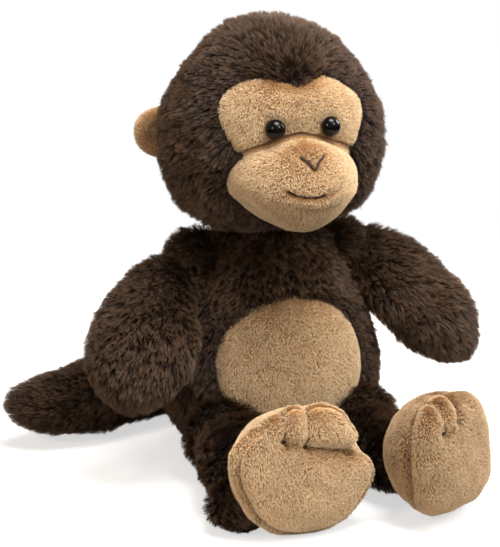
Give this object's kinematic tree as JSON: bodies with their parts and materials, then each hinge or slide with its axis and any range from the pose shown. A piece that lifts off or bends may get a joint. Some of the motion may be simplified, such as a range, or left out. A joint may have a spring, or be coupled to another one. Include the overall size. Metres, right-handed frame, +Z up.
{
  "type": "stuffed monkey",
  "caption": "Seated plush monkey with furry head, torso, limbs and tail, short-pile face, belly, ears and feet, bead eyes, and limbs that bend at their sewn roots.",
  "frame": {"origin": "centre of the flat seat, on the surface the toy sits on", "axes": "+Z up; the face looks along -Y; +X is the toy's own left"},
  "size_m": [0.2727, 0.2697, 0.264],
  "materials": {
    "long_fur": "long brown plush pile",
    "short_pile": "short tan velboa pile",
    "filling": "white polyester fibre filling",
    "pellets": "bag of plastic pellets",
    "thread": "dark brown embroidery thread",
    "eye_plastic": "glossy black plastic",
    "washer_plastic": "moulded nylon washer"
  },
  "bodies": {
    "torso": {"torso_fur_shell": "long_fur", "belly_panel": "short_pile", "torso_stuffing": "filling", "seat_bean_bag": "pellets"},
    "neck": {"neck_wad": "filling"},
    "head": {"head_fur_shell": "long_fur", "brow_mask_panel": "short_pile", "muzzle_panel": "short_pile", "muzzle_stuffing": "filling", "head_stuffing": "filling", "nose_stitch": "thread", "mouth_stitch": "thread", "ear_front_panel_right": "short_pile", "ear_back_panel_right": "short_pile", "eye_right": "eye_plastic", "eye_washer_right": "washer_plastic", "ear_front_panel_left": "short_pile", "ear_back_panel_left": "short_pile", "eye_left": "eye_plastic", "eye_washer_left": "washer_plastic"},
    "shoulder_right": {"shoulder_wad_right": "filling"},
    "arm_right": {"arm_fur_shell_right": "long_fur", "arm_stuffing_right": "filling"},
    "hip_right": {"hip_wad_right": "filling"},
    "leg_right": {"leg_fur_shell_right": "long_fur", "leg_stuffing_right": "filling", "foot_upper_right": "short_pile", "foot_sole_right": "short_pile", "toe_stitch_inner_right": "thread", "toe_stitch_outer_right": "thread"},
    "shoulder_left": {"shoulder_wad_left": "filling"},
    "arm_left": {"arm_fur_shell_left": "long_fur", "arm_stuffing_left": "filling"},
    "hip_left": {"hip_wad_left": "filling"},
    "leg_left": {"leg_fur_shell_left": "long_fur", "leg_stuffing_left": "filling", "foot_upper_left": "short_pile", "foot_sole_left": "short_pile", "toe_stitch_inner_left": "thread", "toe_stitch_outer_left": "thread"},
    "tail_root": {"tail_root_wad": "filling"},
    "tail": {"tail_fur_shell": "long_fur", "tail_stuffing": "filling"}
  },
  "joints": [
    {"name": "head_turn", "type": "hinge", "parent": "torso", "child": "neck", "pos_m": [0, 0, 0.14], "axis": [0, 0, 1], "range_deg": [-35, 35], "stiffness_Nm_per_rad": 0.3},
    {"name": "head_nod", "type": "hinge", "parent": "neck", "child": "head", "pos_m": [0, 0, 0.14], "axis": [1, 0, 0], "range_deg": [-15, 8], "stiffness_Nm_per_rad": 0.6},
    {"name": "arm_swing_right", "type": "hinge", "parent": "torso", "child": "shoulder_right", "pos_m": [-0.046, -0.003, 0.121], "axis": [-1, 0, 0], "range_deg": [-8, 45], "stiffness_Nm_per_rad": 0.2},
    {"name": "arm_raise_right", "type": "hinge", "parent": "shoulder_right", "child": "arm_right", "pos_m": [-0.046, -0.003, 0.121], "axis": [0, 1, 0], "range_deg": [0, 45], "stiffness_Nm_per_rad": 0.2},
    {"name": "leg_lift_right", "type": "hinge", "parent": "torso", "child": "hip_right", "pos_m": [-0.041, -0.046, 0.024], "axis": [-1, 0, 0], "range_deg": [0, 18], "stiffness_Nm_per_rad": 0.3},
    {"name": "leg_spread_right", "type": "hinge", "parent": "hip_right", "child": "leg_right", "pos_m": [-0.041, -0.046, 0.024], "axis": [0, 0, -1], "range_deg": [0, 18], "stiffness_Nm_per_rad": 0.3},
    {"name": "arm_swing_left", "type": "hinge", "parent": "torso", "child": "shoulder_left", "pos_m": [0.046, -0.003, 0.121], "axis": [-1, 0, 0], "range_deg": [-8, 45], "stiffness_Nm_per_rad": 0.2},
    {"name": "arm_raise_left", "type": "hinge", "parent": "shoulder_left", "child": "arm_left", "pos_m": [0.046, -0.003, 0.121], "axis": [0, -1, 0], "range_deg": [0, 45], "stiffness_Nm_per_rad": 0.2},
    {"name": "leg_lift_left", "type": "hinge", "parent": "torso", "child": "hip_left", "pos_m": [0.041, -0.046, 0.024], "axis": [-1, 0, 0], "range_deg": [0, 18], "stiffness_Nm_per_rad": 0.3},
    {"name": "leg_spread_left", "type": "hinge", "parent": "hip_left", "child": "leg_left", "pos_m": [0.041, -0.046, 0.024], "axis": [0, 0, 1], "range_deg": [0, 18], "stiffness_Nm_per_rad": 0.3},
    {"name": "tail_swing", "type": "hinge", "parent": "torso", "child": "tail_root", "pos_m": [0, 0.05, 0.027], "axis": [0, 0, -1], "range_deg": [-6, 35], "stiffness_Nm_per_rad": 0.25},
    {"name": "tail_lift", "type": "hinge", "parent": "tail_root", "child": "tail", "pos_m": [0, 0.05, 0.027], "axis": [0, 1, 0], "range_deg": [0, 18], "stiffness_Nm_per_rad": 0.25}
  ]
}
